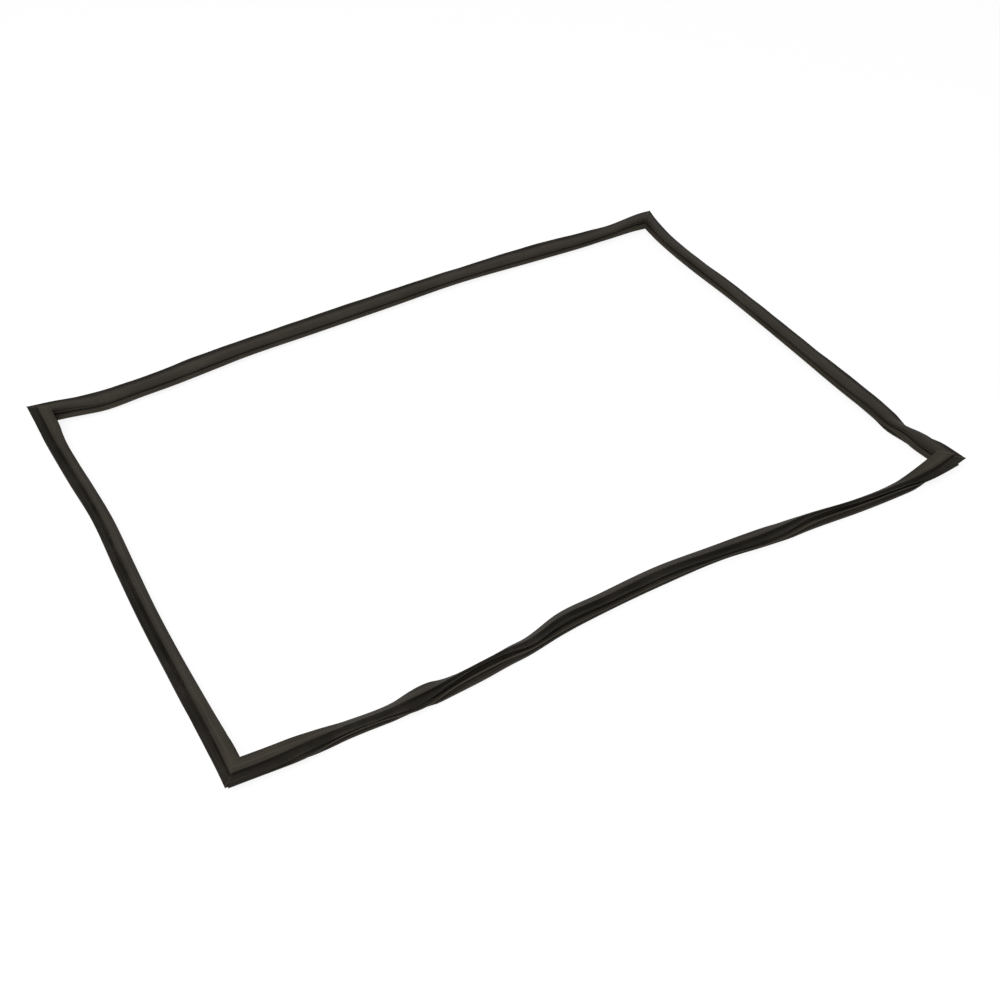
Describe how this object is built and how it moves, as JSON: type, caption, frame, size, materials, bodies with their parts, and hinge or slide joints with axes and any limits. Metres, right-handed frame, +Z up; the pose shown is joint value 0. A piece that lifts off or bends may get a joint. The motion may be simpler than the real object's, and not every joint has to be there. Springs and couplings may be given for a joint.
{
  "type": "refrigerator door gasket",
  "caption": "Rectangular magnetic door gasket loop with mitred corners: thin outer lip, raised magnet pad, hollow bellows and a barbed push-in foot, lying loose with waved sides.",
  "frame": {"origin": "on the floor below the middle of the loop's bounding box", "axes": "+X along the long sides, +Y along the short sides, +Z up, the way the magnet face looks"},
  "size_m": [0.8522, 0.614, 0.0243],
  "materials": {
    "profile_vinyl": "soft matt black vinyl with a brownish cast and fine lines along its length",
    "magnet_ferrite": "matt dark flexible ferrite strip"
  },
  "bodies": {
    "root": {"gasket_frame": "profile_vinyl", "magnet_strip_front": "magnet_ferrite", "magnet_strip_right": "magnet_ferrite", "magnet_strip_back": "magnet_ferrite", "magnet_strip_left": "magnet_ferrite"}
  },
  "joints": []
}
